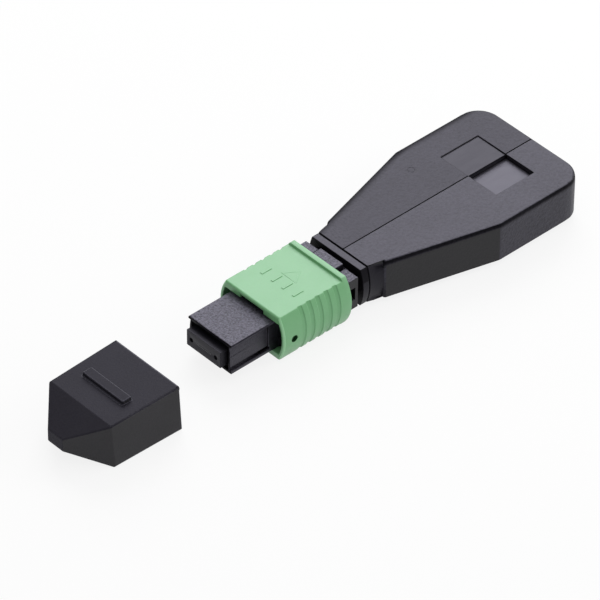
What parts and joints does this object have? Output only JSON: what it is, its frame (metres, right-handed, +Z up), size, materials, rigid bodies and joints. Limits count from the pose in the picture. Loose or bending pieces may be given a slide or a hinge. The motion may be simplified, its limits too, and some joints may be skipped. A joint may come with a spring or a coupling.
{
  "type": "mpo fibre loopback plug",
  "caption": "Female MPO fibre plug with a spring-loaded pull-back sleeve, a loop housing that turns its fibres back, and a slide-on dust cap.",
  "frame": {"origin": "centre of the ferrule's end face", "axes": "+X along the fibres from the end face back into the plug, +Y to the left half, +Z up, with the key below"},
  "size_m": [0.0827, 0.0198, 0.0076],
  "materials": {
    "ferrule": "matt filled resin",
    "boot": "matt",
    "spacer": "satin",
    "spring": "drawn wire",
    "fibre": "smooth coating",
    "nose_plastic": "fine moulded grain",
    "sleeve_plastic": "satin",
    "housing_plastic": "fine moulded grain",
    "cap_plastic": "matt"
  },
  "bodies": {
    "plug": {"inner_housing": "nose_plastic", "spring_push": "nose_plastic", "housing_half_left": "housing_plastic", "housing_half_right": "housing_plastic", "sleeve_spring_left": "spring", "sleeve_spring_right": "spring", "ferrule_spring": "spring"},
    "sleeve": {"coupling_sleeve": "sleeve_plastic"},
    "ferrule": {"mt_ferrule": "ferrule", "ferrule_boot": "boot", "pin_clamp": "spacer", "fibre_loop_1": "fibre", "fibre_loop_2": "fibre", "fibre_loop_3": "fibre", "fibre_loop_4": "fibre", "fibre_loop_5": "fibre", "fibre_loop_6": "fibre"},
    "cap": {"dust_cap": "cap_plastic"}
  },
  "joints": [
    {"name": "sleeve_slide", "type": "slide", "parent": "plug", "child": "sleeve", "axis": [1, 0, 0], "range_m": [0, 0.002], "stiffness_N_per_m": 900, "springref_m": -0.002, "deforming": ["sleeve_spring_left", "sleeve_spring_right"]},
    {"name": "ferrule_float", "type": "slide", "parent": "plug", "child": "ferrule", "axis": [1, 0, 0], "range_m": [0, 0.0005], "stiffness_N_per_m": 2500, "springref_m": -0.003, "deforming": ["ferrule_spring"]},
    {"name": "cap_slide", "type": "slide", "parent": "plug", "child": "cap", "axis": [1, 0, 0], "range_m": [0, 0.0174]}
  ]
}
